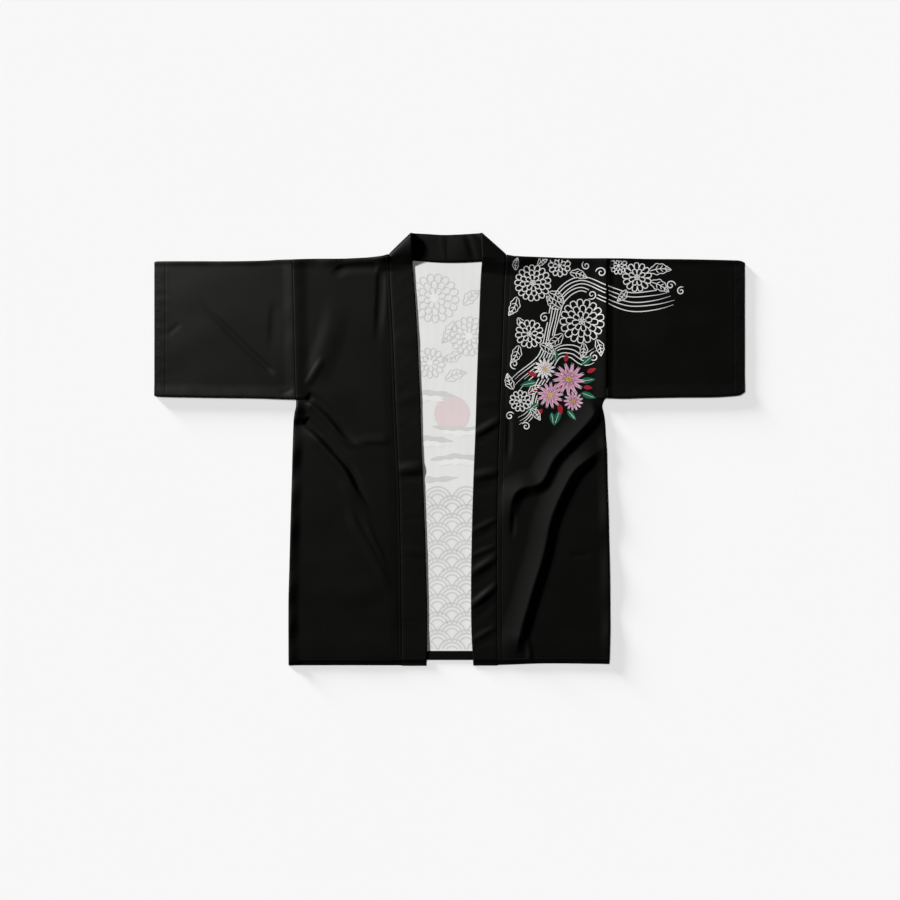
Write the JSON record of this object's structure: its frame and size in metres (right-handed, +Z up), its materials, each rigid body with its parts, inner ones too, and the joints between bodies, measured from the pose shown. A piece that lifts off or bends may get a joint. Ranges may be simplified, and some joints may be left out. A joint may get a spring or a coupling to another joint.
{
  "type": "kimono jacket",
  "caption": "Short open-fronted kimono jacket with wide straight sleeves and a doubled collar band, laid open and face up on a flat surface.",
  "frame": {"origin": "centre of the laid-out jacket, on the surface that it lies on", "axes": "+X across the shoulders to the wearer's left sleeve, +Y from the hem to the collar, +Z up from the surface"},
  "size_m": [1.021, 0.7485, 0.0146],
  "materials": {
    "black_cloth": "thin woven polyester with a soft satin sheen",
    "inside_cloth": "pale inner face with the print showing through faintly",
    "print_white": "matt printed line",
    "print_pink": "matt printed petal",
    "print_red": "matt printed bud",
    "print_green": "matt printed leaf",
    "print_yellow": "matt printed flower centre",
    "thread": "black sewing thread"
  },
  "bodies": {
    "root": {"back": "inside_cloth", "back_hem": "black_cloth", "front_right": "black_cloth", "front_left": "black_cloth", "sleeve_right": "black_cloth", "sleeve_left": "black_cloth", "collar_right": "black_cloth", "collar_left": "black_cloth"}
  },
  "joints": []
}
